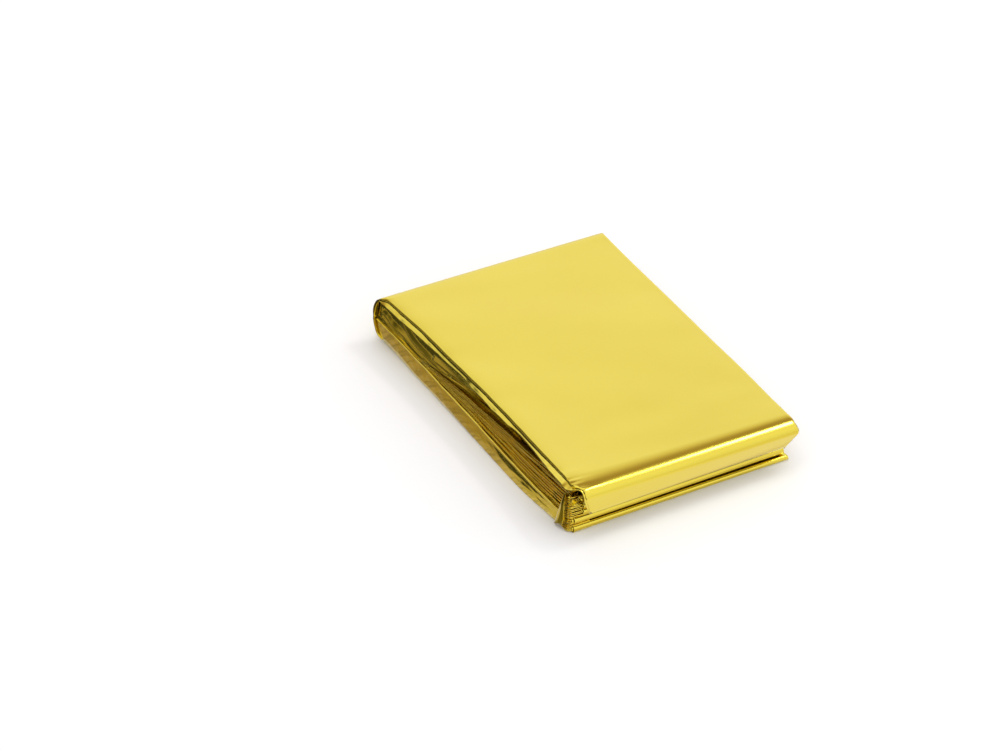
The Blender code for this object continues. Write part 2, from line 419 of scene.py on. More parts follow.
class StudioSettings(bpy.types.PropertyGroup):
    azimuth: bpy.props.FloatProperty(
        name="Azimuth", description="Camera direction round the packet",
        default=math.radians(-28.5), subtype="ANGLE")
    elevation: bpy.props.FloatProperty(
        name="Elevation", description="Camera height above the horizon",
        default=math.radians(33.8), subtype="ANGLE")
    distance: bpy.props.FloatProperty(
        name="Distance", description="Camera distance from the packet",
        default=2.0, min=0.3, unit="LENGTH")
    lens: bpy.props.FloatProperty(
        name="Lens", description="Focal length in millimetres", default=227.5, min=20.0)
    aim: bpy.props.FloatVectorProperty(
        name="Aim", description="Where the packet's middle lies, right and up from the view's middle",
        default=(-0.0270, 0.0019), size=2, unit="LENGTH")
    floor: bpy.props.FloatVectorProperty(
        name="Floor", description="Colour of the pale floor",
        default=(0.94, 0.945, 0.97), size=3, min=0.0, max=1.0, subtype="COLOR")
    key_power: bpy.props.FloatProperty(
        name="Key power", description="Power of the soft light overhead",
        default=1.2, min=0.0, unit="POWER")
    fill_power: bpy.props.FloatProperty(
        name="Fill power", description="Power of the wide light that lifts the floor",
        default=6.5, min=0.0, unit="POWER")
    # Painted reflection: the side card glows only in reflections, brown, standing in for the shaded
    # floor that the packet's left side mirrors.
    side_painted_reflection: bpy.props.FloatVectorProperty(
        name="Side card", description="Colour that the card on the left lends the packet's side",
        default=(0.44, 0.335, 0.15), size=3, min=0.0, max=1.0, subtype="COLOR")
    # Painted reflection: the front card glows only in reflections, a bright floor that the hanging panel
    # mirrors in place of the real floor's shade.
    front_painted_reflection: bpy.props.FloatVectorProperty(
        name="Front card", description="Colour that the card in front lends the hanging panel",
        default=(0.98, 0.955, 0.90), size=3, min=0.0, max=1.0, subtype="COLOR")
    dim_wall: bpy.props.FloatVectorProperty(
        name="Dim wall", description="Colour of the room low on the left, behind the packet",
        default=(0.068, 0.066, 0.045), size=3, min=0.0, max=1.0, subtype="COLOR")


def top_height(across, y):
    along = (y - FRONT_END) / LENGTH
    front = mix(HIGH_FRONT_LEFT, HIGH_FRONT_RIGHT, math.sqrt(across))
    back = mix(HIGH_BACK_LEFT, HIGH_BACK_RIGHT, across)
    crown = CROWN * math.sin(math.pi * along) * math.sin(math.pi * across)
    return mix(back, front, max(1.0 - along, 0.0) ** LOOSENESS_FALL) + crown


def top_crease(x, y):
    """How far the soft troughs and ridges lower the top face at that place."""
    lower = 0.0
    for start_x, start_y, end_x, end_y, width, depth in TOP_CREASES:
        start, end = np.array((start_x, start_y)) * MM, np.array((end_x, end_y)) * MM
        ahead = end - start
        here = np.array((x, y)) - start
        share = float(here @ ahead / (ahead @ ahead))
        beside = float(np.linalg.norm(here - min(max(share, 0.0), 1.0) * ahead))
        lower += depth * MM * math.exp(-(beside / (width * MM * 0.6)) ** 2)
    return lower


class Strip:
    """The strip's section: where each layer lies and how its plies run through every turn."""

    def __init__(self, film, spread):
        self.half_pack = spread + film / 2
        self.turns = {layer: (left * MM, right * MM) for layer, left, right in TURNS}

    def layer_height(self, layer, across, y):
        _, rise_left, rise_right, *_ = LAYERS[layer]
        room = top_height(across, y) - 2 * self.half_pack
        return self.half_pack + mix(rise_left, rise_right, across) * room

    def insets(self, layer, y):
        *_, front, middle, back, right = LAYERS[layer]
        return through_three(front, middle, back, y) * MM, right * MM

    def run(self, layer, across, y_start, y_end):
        steps = TOP_RUN_STEPS if layer == TOP_LAYER else RUN_STEPS
        points = []
        for step in range(steps):
            y = mix(y_start, y_end, step / steps)
            points.append((y, self.layer_height(layer, across, y), *self.insets(layer, y)))
        return points

    def turn(self, layer, across, y_edge, outward):
        low = self.layer_height(layer, across, y_edge)
        high = self.layer_height(layer + 1, across, y_edge)
        radius = (high - low) / 2
        y_middle = y_edge - outward * radius
        insets = list(zip(self.insets(layer, y_edge), self.insets(layer + 1, y_edge)))
        points = []
        for step in range(TURN_STEPS):
            share = step / TURN_STEPS
            angle = math.pi * share
            y = y_middle + outward * radius * math.sin(angle) ** (2 / TURN_SQUARENESS)
            lift = math.copysign(abs(math.cos(angle)) ** (2 / TURN_SQUARENESS), -math.cos(angle))
            z = mix(low, high, (1 + lift) / 2)
            points.append((y, z, *(mix(a, b, share) for a, b in insets)))
        return points, y_middle

    def back_wrap(self, across, y_end):
        y_start = y_end - WRAP_DEPTH
        high = self.layer_height(TOP_LAYER, across, y_start)
        low = self.half_pack
        insets = list(zip(self.insets(TOP_LAYER, y_start), self.insets(0, y_start)))
        points = []
        for step in range(WRAP_STEPS):
            share = step / WRAP_STEPS
            angle = math.pi * (0.5 - share)
            reach = math.cos(angle) ** (2 / WRAP_SQUARENESS)
            lift = math.copysign(abs(math.sin(angle)) ** (2 / WRAP_SQUARENESS), angle)
            z = (high + low) / 2 + lift * (high - low) / 2
            left, right = (mix(a, b, share) for a, b in insets)
            left -= WRAP_BELLY * math.sin(math.pi * share) ** BELLY_ROUNDNESS
            points.append((y_start + WRAP_DEPTH * reach, z, left, right))
        return points, y_start

    def front_drop(self, across, y_front):
        y_edge = y_front + mix(*DROP_SET_BACK, across)
        z_edge = mix(*DROP_EDGE_HEIGHT, across)
        reach = mix(*FOLD_REACH, across)
        y_middle = y_front + reach
        z_middle = self.layer_height(TOP_LAYER, across, y_middle) - FOLD_DEPTH
        y_foot, z_foot = y_front, z_middle
        for _ in range(6):
            lean = (y_edge - y_foot) / (z_foot - z_edge)
            turned = math.atan(lean * FOLD_DEPTH / reach)
            y_foot = y_middle - reach * math.cos(turned)
            z_foot = z_middle - FOLD_DEPTH * math.sin(turned)
        points = []
        for step in range(DROP_STEPS):
            share = step / DROP_STEPS
            left = mix(DROP_LEFT_INSETS[2], DROP_LEFT_INSETS[1], share)
            right = mix(DROP_RIGHT_INSETS[2], DROP_RIGHT_INSETS[1], share)
            points.append((mix(y_edge, y_foot, share), mix(z_edge, z_foot, share), left, right))
        for step in range(FOLD_STEPS):
            share = step / FOLD_STEPS
            angle = mix(-turned, math.pi / 2, share)
            y = y_middle - reach * math.cos(angle)
            z = z_middle + FOLD_DEPTH * math.sin(angle)
            left = mix(DROP_LEFT_INSETS[1], DROP_LEFT_INSETS[0], smooth((share - 0.35) / 0.45))
            right = mix(DROP_RIGHT_INSETS[1], DROP_RIGHT_INSETS[0], share)
            points.append((y, z, left, right))
        return points, y_middle

    def section(self, across):
        y_front = FRONT_END + self.half_pack + FRONT_SKEW * across
        y_back = BACK_END - self.half_pack
        points, y_here = self.front_drop(across, y_front)
        wrap, y_wrap = self.back_wrap(across, y_back)
        points += self.run(TOP_LAYER, across, y_here, y_wrap) + wrap
        y_here = y_wrap
        last = TOP_LAYER - 1
        for layer in range(last):
            set_in = mix(*self.turns[layer], across)
            if layer % 2 == 0:
                half_turn, y_next = self.turn(layer, across, y_front + set_in, -1)
            else:
                half_turn, y_next = self.turn(layer, across, y_back - set_in, 1)
            points += self.run(layer, across, y_here, y_next) + half_turn
            y_here = y_next
        y_end = y_back - mix(*self.turns[last], across)
        points += self.run(last, across, y_here, y_end)
        points.append((y_end, self.layer_height(last, across, y_end), *self.insets(last, y_end)))
        return np.array(points)


def outward_sides(section):
    """Unit vectors square to the strip's section in the Y-Z plane, on its outer side."""
    ahead = np.gradient(section[:, :2], axis=0)
    ahead /= np.linalg.norm(ahead, axis=1)[:, None]
    return np.column_stack((-ahead[:, 1], ahead[:, 0]))


def ply_columns():
    """Every column of the folded-up width: (ply offset, place across, bulge past the edge, ply)."""
    columns = []
    for ply, offset in enumerate(PLY_OFFSETS):
        places = ACROSS if ply % 2 else tuple(reversed(ACROSS))
        columns += [(offset, place, 0.0, ply) for place in places]
        if ply < OUTER_PLY:
            for step in range(1, EDGE_TURN_STEPS):
                angle = math.pi * step / EDGE_TURN_STEPS
                between = mix(offset, PLY_OFFSETS[ply + 1], (1 - math.cos(angle)) / 2)
                columns.append((between, places[-1], math.sin(angle), ply))
    return columns


def inside_wrap(y):
    """The lowest and highest place free inside the turn round the back end at y."""
    start = BACK_END - 1.3 * MM - WRAP_DEPTH
    low, high = WRAP_CLEARANCE, top_height(0.0, start) - WRAP_CLEARANCE
    share = min(max((y - start) / WRAP_DEPTH, 0.0), 0.995)
    half = (high - low) / 2 * (1 - share ** WRAP_SQUARENESS) ** (1 / WRAP_SQUARENESS)
    return (low + high) / 2 - half, (low + high) / 2 + half


def linked(name, data):
    """A new object for that mesh, light or camera, in the scene."""
    made = bpy.data.objects.new(name, data)
    bpy.context.scene.collection.objects.link(made)
    return made


def film_piece(name, rows, thickness, material):
    """Rows of points made a closed film of that thickness, shaded smooth."""
    form = bmesh.new()
    grid = [[form.verts.new(point) for point in row] for row in rows]
    for row, after in zip(grid, grid[1:]):
        for column in range(len(row) - 1):
            form.faces.new((row[column], row[column + 1], after[column + 1], after[column]))
    mesh = bpy.data.meshes.new(name)
    form.to_mesh(mesh)
    form.free()
    mesh.materials.append(material)
    mesh.materials.append(shaded_cut_edge())
    mesh.shade_smooth()
    piece = linked(name, mesh)
    film = piece.modifiers.new("film", "SOLIDIFY")
    film.thickness = thickness
    film.offset = 0.0
    film.material_offset_rim = 1
    piece.modifiers.new("even shading", "WEIGHTED_NORMAL")
    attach(piece, "root")
    return piece


class Nodes:
    """Adds nodes to a tree.

    Sources go to a node's enabled inputs in order: a socket is linked, a value is set, None is left.
    """

    def __init__(self, tree):
        self.tree = tree

    def add(self, kind, *sources, **settings):
        made = self.tree.nodes.new(kind)
        for name, value in settings.items():
            setattr(made, name, value)
        usable = [socket for socket in made.inputs if socket.enabled]
        for socket, source in zip(usable, sources):
            if isinstance(source, bpy.types.NodeSocket):
                self.tree.links.new(source, socket)
            elif source is not None:
                socket.default_value = source
        return made

    def maths(self, operation, *sources):
        return self.add("ShaderNodeMath", *sources, operation=operation).outputs[0]

    def ranged(self, value, *limits, **settings):
        return self.add("ShaderNodeMapRange", value, *limits, **settings).outputs["Result"]

    def blend(self, share, first, second):
        return self.add("ShaderNodeMix", share, first, second, data_type="RGBA").outputs["Result"]

    def noise(self, place, scale, detail=None):
        return self.add("ShaderNodeTexNoise", place, scale, detail).outputs["Fac"]


def shaded_material(name, values, wire):
    """A new material: its shader's inputs take the values, then what wire makes of its nodes."""
    material = bpy.data.materials.new(name)
    material.use_nodes = True
    shader = material.node_tree.nodes["Principled BSDF"]
    for socket, value in values.items():
        shader.inputs[socket].default_value = value
    nodes = Nodes(material.node_tree)
    place = nodes.add("ShaderNodeTexCoord").outputs["Object"]
    for socket, source in wire(nodes, place).items():
        material.node_tree.links.new(source, shader.inputs[socket])
    return material


def crinkle_group():
    """A shader node group: the fine crinkles of thin film, as a height."""
    group = bpy.data.node_groups.get("Foil Crinkle")
    if group:
        return group
    group = bpy.data.node_groups.new("Foil Crinkle", "ShaderNodeTree")
    for name, side in (("Scale", "INPUT"), ("Stretch", "INPUT"), ("Height", "OUTPUT")):
        group.interface.new_socket(name, in_out=side, socket_type="NodeSocketFloat")
    nodes = Nodes(group)
    given = nodes.add("NodeGroupInput").outputs
    place = nodes.add("ShaderNodeTexCoord").outputs["Object"]
    along = nodes.maths("DIVIDE", 1.0, given["Stretch"])
    factors = nodes.add("ShaderNodeCombineXYZ", 1.0, along, 1.0).outputs[0]
    squeezed = nodes.add("ShaderNodeVectorMath", place, factors, operation="MULTIPLY").outputs[0]
    fine = nodes.noise(squeezed, given["Scale"], 3.0)
    cells = nodes.add("ShaderNodeTexVoronoi", squeezed, given["Scale"], feature="DISTANCE_TO_EDGE")
    crease = nodes.ranged(cells.outputs["Distance"], 0.0, 0.12, 1.0, 0.0)
    nodes.add("NodeGroupOutput", nodes.maths("MULTIPLY_ADD", crease, 0.35, fine))
    return group


def foil(context, finish):
    """Gold metal under a clear face, with crinkles and slow changes of colour and roughness."""
    settings = context.scene.foil_blanket
    scale, stretch, strength, deep_tone_and_shade_share = FINISHES[finish]

    def wire(nodes, place):
        height = nodes.add("ShaderNodeGroup", scale, stretch, node_tree=crinkle_group()).outputs[0]
        slow = nodes.noise(place, CLOUD_SCALE, 2.0)
        rough = [settings.roughness * share for share in ROUGHNESS_SPREAD]
        dented = nodes.add("ShaderNodeBump", strength, BUMP_HEIGHT, None, height)
        return {
            # Slow noise mixes in deep gold: random tone, and painted shade where the finish gives it a
            # large share.
            "Base Color": nodes.blend(nodes.maths("MULTIPLY", slow, deep_tone_and_shade_share),
                                      (*settings.gold, 1.0), (*settings.gold_deep_and_shade, 1.0)),
            "Roughness": nodes.ranged(slow, 0.0, 1.0, *rough),
            "Normal": dented.outputs["Normal"],
        }

    return bpy.data.materials.get(finish) or shaded_material(finish, {
        "Metallic": 1.0, "Coat Weight": 1.0, "Coat Roughness": 0.06, "Coat IOR": 1.45}, wire)


def shaded_cut_edge():
    """The film's cut edge: deeper and duller than its faces, uneven along its length; its deep colour is
    painted shade for the dark lines along the plies' edges.
    """
    return bpy.data.materials.get("gold_foil_shaded_edge") or shaded_material(
        "gold_foil_shaded_edge", {"Metallic": 1.0, "Roughness": 0.45}, lambda nodes, place: {
            "Base Color": nodes.blend(nodes.noise(place, CUT_EDGE_SCALE), *CUT_EDGE_SHADED_COLOURS)})


class FoldStrip(bpy.types.Operator):
    """Lays the film's three plies to and fro as one folded strip"""
    bl_idname = "foil_blanket.fold_strip"
    bl_label = "Fold Strip"

    def edge_shifts(self, settings, place, ply, on_top, under):
        """How far the ply's left and right edges stand in, with their waves."""
        outer = ply == OUTER_PLY
        wander = mix(settings.edge_wander, WANDER_ON_TOP * settings.edge_wander, on_top)
        left = wander * ripple(place, SLOW_WAVE, 2 if outer else 1)
        left += QUICK_SHARE * wander * ripple(place, QUICK_WAVE, 4 if outer else 3)
        left += mix(OUTER_SET_IN, 0.0, on_top) if outer else -on_top * under
        return left, wander * ripple(place, RIGHT_WAVE, 6 if ply == 0 else 5)

    def under_sag(self, settings, across, place, on_top):
        """How far a ply under the top one sags and is crimped near its left edge."""
        height, wavelength, reach = CRIMP
        sag = settings.under_drop * near_edge(across, SAG_REACH) ** 1.5
        sag += height * abs(wrinkle(place / wavelength, across * 30, 7)) * near_edge(across, reach)
        return on_top * (sag + EDGE_TILT[0] * near_edge(across, EDGE_TILT[1]))

    def outer_sag(self, settings, across, place, y, on_top):
        """How far the outer ply droops at its left edge, crumpled beside the front fold."""
        height, wavelength, reach = CRUMPLE
        from_middle = abs(y - FRONT_END - CRUMPLE_MIDDLE)
        crumpled = smooth((CRUMPLE_HALF - from_middle) / CRUMPLE_FADE) * near_edge(across, reach)
        crumpled *= abs(wrinkle(place / wavelength, across * 9, 6))
        return on_top * settings.droop * near_edge(across, DROOP_REACH) ** 2 + height * crumpled

    def point(self, settings, row, place, column, station, on_top, under):
        """The film's point in that row and column."""
        offset, across, bulge, ply = column
        section, sides = station
        y, z, left, right = section[row]
        outer = ply == OUTER_PLY
        if outer and row < DROP_STEPS:
            y, z = mix(section[row, :2], section[DROP_STEPS, :2], OUTER_EDGE_SHORT)
        left_shift, right_shift = self.edge_shifts(settings, place, ply, on_top, under)
        left_x = LEFT_SIDE + max(left + left_shift, -BELLY_PAST_SIDE)
        bulge_out = bulge * settings.spread / 2
        x = mix(left_x, RIGHT_SIDE - right - right_shift, across)
        x += bulge_out if across > 0.5 else -bulge_out
        push = offset * settings.spread
        if row < LAST_TOP_ROW:
            height, along_x, along_strip = SLACK
            slack = 1.0 - smooth((row - DROP_STEPS) / SLACK_FADE_ROWS)
            push += height * slack * wrinkle(x / along_x, place / along_strip, 8)
        if not outer:
            z -= self.under_sag(settings, across, place, on_top)
        elif row < LAST_TOP_ROW:
            rolled = EDGE_ROLL.get(across, 0.0)
            push -= rolled * (ROLL_SHARE * settings.spread + on_top * settings.under_drop)
            if 0.0 < rolled < ROLL_OFF_EDGE:
                x -= ROLL_SQUARING
            z -= self.outer_sag(settings, across, place, y, on_top)
        z -= on_top * top_crease(x, y)
        return x, y + sides[row][0] * push, z + sides[row][1] * push

    def execute(self, context):
        settings = context.scene.foil_blanket
        strip = Strip(settings.film, settings.spread)
        stations = {}
        for across in ACROSS:
            section = strip.section(across)
            stations[across] = (section, outward_sides(section))
        middle = stations[0.5][0]
        lengths = np.linalg.norm(np.diff(middle[:, :2], axis=0), axis=1)
        travelled = np.concatenate(([0.0], np.cumsum(lengths)))
        columns = ply_columns()
        rows = []
        for row, place in enumerate(travelled):
            on_top = smooth((row - FIRST_TOP_ROW) / TOP_FADE_ROWS[0])
            on_top *= smooth((LAST_TOP_ROW - row) / TOP_FADE_ROWS[1])
            under, = along_table(UNDER_EDGE, middle[row][0])
            rows.append([self.point(settings, row, place, column, stations[column[1]], on_top, under)
                         for column in columns])
        piece = film_piece("foil_strip", rows, settings.film, foil(context, "gold_foil_face"))
        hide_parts(NODE)
        return {"FINISHED"}


class FoldLowPleat(bpy.types.Operator):
    """Turns the film round the lowest layers along the left side"""
    bl_idname = "foil_blanket.fold_low_pleat"
    bl_label = "Fold Low Pleat"

    def section(self, y):
        """The pleat's section at y, from the upper tuck over the lip and down the face."""
        lip = PLEAT_LIP
        foot, face, edge, top = along_table(LOW_PLEAT, y)
        top += sum(height * ripple(y, wavelength, seed) for height, wavelength, seed in PLEAT_EDGE_WAVES)
        backward = smooth((y - UPRIGHT_FROM) / UPRIGHT_FADE)
        ground = PLEAT_FOOT + max(inside_wrap(y)[0] - WRAP_CLEARANCE, 0.0)
        points = [(mix(edge + PLEAT_TUCK, edge + lip, share), top - PLEAT_TUCK_DROP * (1 - share))
                  for share in (0.0, 0.5, 0.9)]
        for angle in (45.0, 90.0, 135.0):
            turned = math.radians(angle)
            points.append((edge - lip * math.sin(turned), top - lip * (1 - math.cos(turned))))
        for part in range(PLEAT_STEPS):
            share = (part + 0.5) / PLEAT_STEPS
            bowed = math.sin(math.pi * share)
            belly = PLEAT_BELLY * (face - mix(edge, foot, 0.5)) * bowed
            creased = mix(crinkles(PLEAT_ALONG, y, share), crinkles(PLEAT_UPRIGHT, y, share), backward)
            creased *= min(1.0, 1.8 * (1 - share)) * MM * bowed
            points.append((mix(edge, foot, share) + belly + creased,
                           mix(top - 2 * lip, ground + lip, share)))
        for angle in (45.0, 90.0):
            turned = math.radians(angle)
            points.append((foot + lip * (1 - math.cos(turned)), ground + lip * (1 - math.sin(turned))))
        points += [(foot + lip + PLEAT_TUCK * share, ground - 0.05 * MM) for share in (0.5, 1.0)]
        return [(LEFT_SIDE + x, y, z) for x, z in points]

    def execute(self, context):
        ends = (LOW_PLEAT[0][0] * MM, LOW_PLEAT[-1][0] * MM)
        rows = [self.section(mix(*ends, step / SIDE_STEPS)) for step in range(SIDE_STEPS + 1)]
        film = context.scene.foil_blanket.film
        piece = film_piece("low_pleat", rows, film, foil(context, "gold_foil_side"))
        return {"FINISHED"}


class TuckRecess(bpy.types.Operator):
    """Tucks the film in between the low pleat and the top layer, with its long creases"""
    bl_idname = "foil_blanket.tuck_recess"
    bl_label = "Tuck Recess"

    def crease_height(self, y, z, depth):
        """How far the creases lift the film at that place."""
        lift = 0.0
        fade_in, fade_out = CREASE_FADES
        for crease in CREASES:
            (start, _), *_, (end, _) = sorted(crease)
            height, = along_table(crease, y)
            fade = smooth((y / MM - start) / fade_in) * smooth((end - y / MM) / fade_out)
            above = z - height
            fall = above / CREASE_ABOVE if above > 0 else -above / CREASE_BELOW
            lift = max(lift, fade * depth * (1 - fall))
        return lift

    def section(self, y, depth):
        """The recess's section at y, from its upper tuck down to its lower one."""
        top_x, deep_x, low_x = along_table(RECESS, y)
        pleat_top = along_table(LOW_PLEAT, y)[3]
        z_top = min(top_height(0.0, y) - RECESS_UNDER_TOP, inside_wrap(y)[1])
        z_low = min(pleat_top + 0.1 * MM, z_top - 2 * MM)
        fine = smooth((y - FINE_FROM) / FINE_FADE)
        points = [(top_x + RECESS_TUCK, z_top)]
        for part in range(RECESS_STEPS + 1):
            share = part / RECESS_STEPS
            z = mix(z_top, z_low, share)
            hollow = (deep_x - mix(top_x, low_x, 0.45)) * math.sin(math.pi * share ** 0.85)
            x = mix(top_x, low_x, share) + hollow - self.crease_height(y, z, depth)
            x += MM * (crinkles(RECESS_SLOW, y, share) + fine * crinkles(RECESS_FINE, y, share))
            points.append((x, z))
        points.append((low_x + RECESS_TUCK, z_low - 0.05 * MM))
        return [(LEFT_SIDE + x, y, z) for x, z in points]

    def execute(self, context):
        depth = context.scene.foil_side.crease_depth
        ends = (RECESS[0][0] * MM, RECESS[-1][0] * MM)
        rows = [self.section(mix(*ends, step / SIDE_STEPS), depth) for step in range(SIDE_STEPS + 1)]
        film = context.scene.foil_blanket.film
        piece = film_piece("recess_film", rows, film, foil(context, "gold_foil_recess"))
        return {"FINISHED"}


def page_tree():
    """Geometry Nodes: ribbons of film stacked over a path, fanning out, with uneven edges."""
    tree = bpy.data.node_groups.get("Film Pages")
    if tree:
        return tree
    tree = bpy.data.node_groups.new("Film Pages", "GeometryNodeTree")
    tree.is_modifier = True
    face = tree.interface
    face.new_socket("Geometry", in_out="OUTPUT", socket_type="NodeSocketGeometry")
    face.new_socket("Path", in_out="INPUT", socket_type="NodeSocketGeometry")
    for name, kind in (("Count", "Int"), ("Depth", "Float"), ("Film", "Float"),
                       ("Front Pitch", "Float"), ("Back Pitch", "Float"), ("Fan", "Float"),
                       ("Lean", "Float"), ("Wander", "Float"), ("Wavelength", "Float"),
                       ("Seed", "Int"), ("Foil", "Material")):
        face.new_socket(name, in_out="INPUT", socket_type="NodeSocket" + kind)
    links, nodes = tree.links, Nodes(tree)
    node, maths = nodes.add, nodes.maths

    def captured(geometry, **values):
        """The geometry with those values kept on its points, and the values as sockets by name."""
        made = node("GeometryNodeCaptureAttribute", geometry)
        for name, source in values.items():
            made.capture_items.new("VECTOR" if source.type == "VECTOR" else "FLOAT", name)
            links.new(source, made.inputs[name])
        return made.outputs

    given = node("NodeGroupInput").outputs
    curve = node("GeometryNodeMeshToCurve", given["Path"]).outputs[0]
    place = node("GeometryNodeSplineParameter").outputs
    kept = captured(curve, share=place["Factor"], length=place["Length"],
                    tangent=node("GeometryNodeInputTangent").outputs[0])
    profile = node("GeometryNodeCurvePrimitiveQuadrilateral", given["Depth"], given["Film"])
    rounded = node("GeometryNodeFilletCurve", profile.outputs[0])
    rounded.mode = "POLY"
    rounded.inputs["Count"].default_value = 2
    links.new(maths("MULTIPLY", given["Film"], 0.22), rounded.inputs["Radius"])
    ribbon = node("GeometryNodeCurveToMesh", kept[0], rounded.outputs[0])
    ribbon.inputs["Fill Caps"].default_value = True
    line = node("GeometryNodeMeshLine", given["Count"], None, (0.0, 0.0, 0.0))
    numbered = captured(line.outputs[0], page=node("GeometryNodeInputIndex").outputs[0])
    stack = node("GeometryNodeInstanceOnPoints", numbered[0])
    links.new(ribbon.outputs[0], stack.inputs["Instance"])
    whole = node("GeometryNodeRealizeInstances", stack.outputs[0]).outputs[0]
    page, along, length = numbered["page"], kept["share"], kept["length"]

    fan = maths("POWER", along, given["Fan"])
    pitch = node("ShaderNodeMix", fan, given["Front Pitch"], given["Back Pitch"]).outputs[0]
    chance = node("FunctionNodeRandomValue", data_type="FLOAT")
    chance.inputs["Min"].default_value = -1.0
    links.new(page, chance.inputs["ID"])
    links.new(given["Seed"], chance.inputs["Seed"])
    uneven = [socket for socket in chance.outputs if socket.enabled][0]
    where = node("ShaderNodeCombineXYZ", maths("DIVIDE", length, given["Wavelength"]),
                 maths("MULTIPLY", page, 1.37), maths("MULTIPLY", given["Seed"], 0.71)).outputs[0]
    waves = node("ShaderNodeTexNoise", where)
    waves.inputs["Scale"].default_value = 1.0
    swing = maths("MULTIPLY_ADD", waves.outputs["Fac"], 3.0, -1.5)
    out = maths("MULTIPLY", maths("MULTIPLY_ADD", uneven, 0.55, swing), given["Wander"])
    out = maths("SUBTRACT", out, maths("MULTIPLY", page, maths("MULTIPLY", given["Lean"], pitch)))
    lift = maths("MULTIPLY", page, pitch)
    lift = maths("MULTIPLY_ADD", maths("MULTIPLY", uneven, swing), maths("MULTIPLY", pitch, 0.25), lift)
    upward = node("ShaderNodeCombineXYZ", 0.0, 0.0, 1.0).outputs[0]
    outward = node("ShaderNodeVectorMath", upward, kept["tangent"], operation="CROSS_PRODUCT")
    sideways = node("ShaderNodeVectorMath", outward.outputs[0], operation="SCALE")
    links.new(out, sideways.inputs["Scale"])
    rise = node("ShaderNodeCombineXYZ", 0.0, 0.0, lift).outputs[0]
    moved = node("ShaderNodeVectorMath", sideways.outputs[0], rise, operation="ADD").outputs[0]
    placed = node("GeometryNodeSetPosition", whole)
    links.new(moved, placed.inputs["Offset"])
    smoothed = node("GeometryNodeSetShadeSmooth", placed.outputs[0])
    single = node("GeometryNodeRealizeInstances", smoothed.outputs[0])
    finished = node("GeometryNodeSetMaterial", single.outputs[0])
    links.new(given["Foil"], finished.inputs["Material"])
    node("NodeGroupOutput", finished.outputs[0])
    return tree


def stacked_pages(name, path, values):
    """The ribbons that the tree lays over a path of points, as a plain mesh."""
    mesh = bpy.data.meshes.new(name + "_path")
    mesh.from_pydata(path, [(i, i + 1) for i in range(len(path) - 1)], [])
    guide = linked(name + "_path", mesh)
    pages = guide.modifiers.new("pages", "NODES")
    pages.node_group = page_tree()
    sockets = {item.name: item.identifier for item in pages.node_group.interface.items_tree}
    for socket, value in values.items():
        pages[sockets[socket]] = value
    depsgraph = bpy.context.evaluated_depsgraph_get()
    made = bpy.data.meshes.new_from_object(guide.evaluated_get(depsgraph))
    bpy.data.objects.remove(guide)
    made.name = name
    piece = linked(name, made)
    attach(piece, "root")
    return piece


class StackPages(bpy.types.Operator):
    """Stacks the loose film edges that show on the left side and beside the front panel"""
    bl_idname = "foil_blanket.stack_pages"
    bl_label = "Stack Pages"

    def side_path(self):
        """Where the lowest page lies over the low pleat, from the front end backward."""
        path = []
        for step in range(PAGE_STEPS + 1):
            y = mix(*PAGE_SPAN, step / PAGE_STEPS)
            _, _, edge, pleat_top = along_table(LOW_PLEAT, y)
            path.append((LEFT_SIDE + edge + PAGE_DEPTH / 2 + PAGE_SET_IN, y, pleat_top + PAGE_LIFT))
        return path

    def corner_path(self):
        """Where the lowest page lies beside the front panel and round the corner."""
        path = []
        for step in range(CORNER_STEPS + 1):
            share = step / CORNER_STEPS
            turned = math.radians(90 * smooth((share - 0.55) / 0.3))
            x = mix(*CORNER_X, min(share / 0.7, 1.0)) - CORNER_RADIUS * math.sin(turned)
            y = CORNER_Y + CORNER_RADIUS * (1 - math.cos(turned))
            y += CORNER_TAIL * max(share - 0.72, 0.0)
            path.append((x * MM, y * MM, CORNER_FOOT * MM))
        return path

    def execute(self, context):
        side = context.scene.foil_side
        common = {"Depth": PAGE_DEPTH, "Seed": side.seed, "Foil": foil(context, "gold_foil_side")}
        side_pages = stacked_pages("side_pages", self.side_path(), {
            "Count": side.pages, "Film": 0.32 * MM, "Front Pitch": side.page_pitch,
            "Back Pitch": 0.03 * MM, "Fan": 1.5, "Lean": 0.10,
            "Wander": side.page_wander, "Wavelength": 14 * MM, **common})
        corner_pages = stacked_pages("corner_pages", self.corner_path(), {
            "Count": side.corner_pages, "Film": 0.36 * MM, "Front Pitch": CORNER_PITCH,
            "Back Pitch": CORNER_PITCH, "Fan": 1.0, "Lean": 0.04,
            "Wander": 0.8 * side.page_wander, "Wavelength": 4 * MM, **common})
        self.report({"INFO"}, f"{side_pages.name} and {corner_pages.name} are stacked")
        return {"FINISHED"}


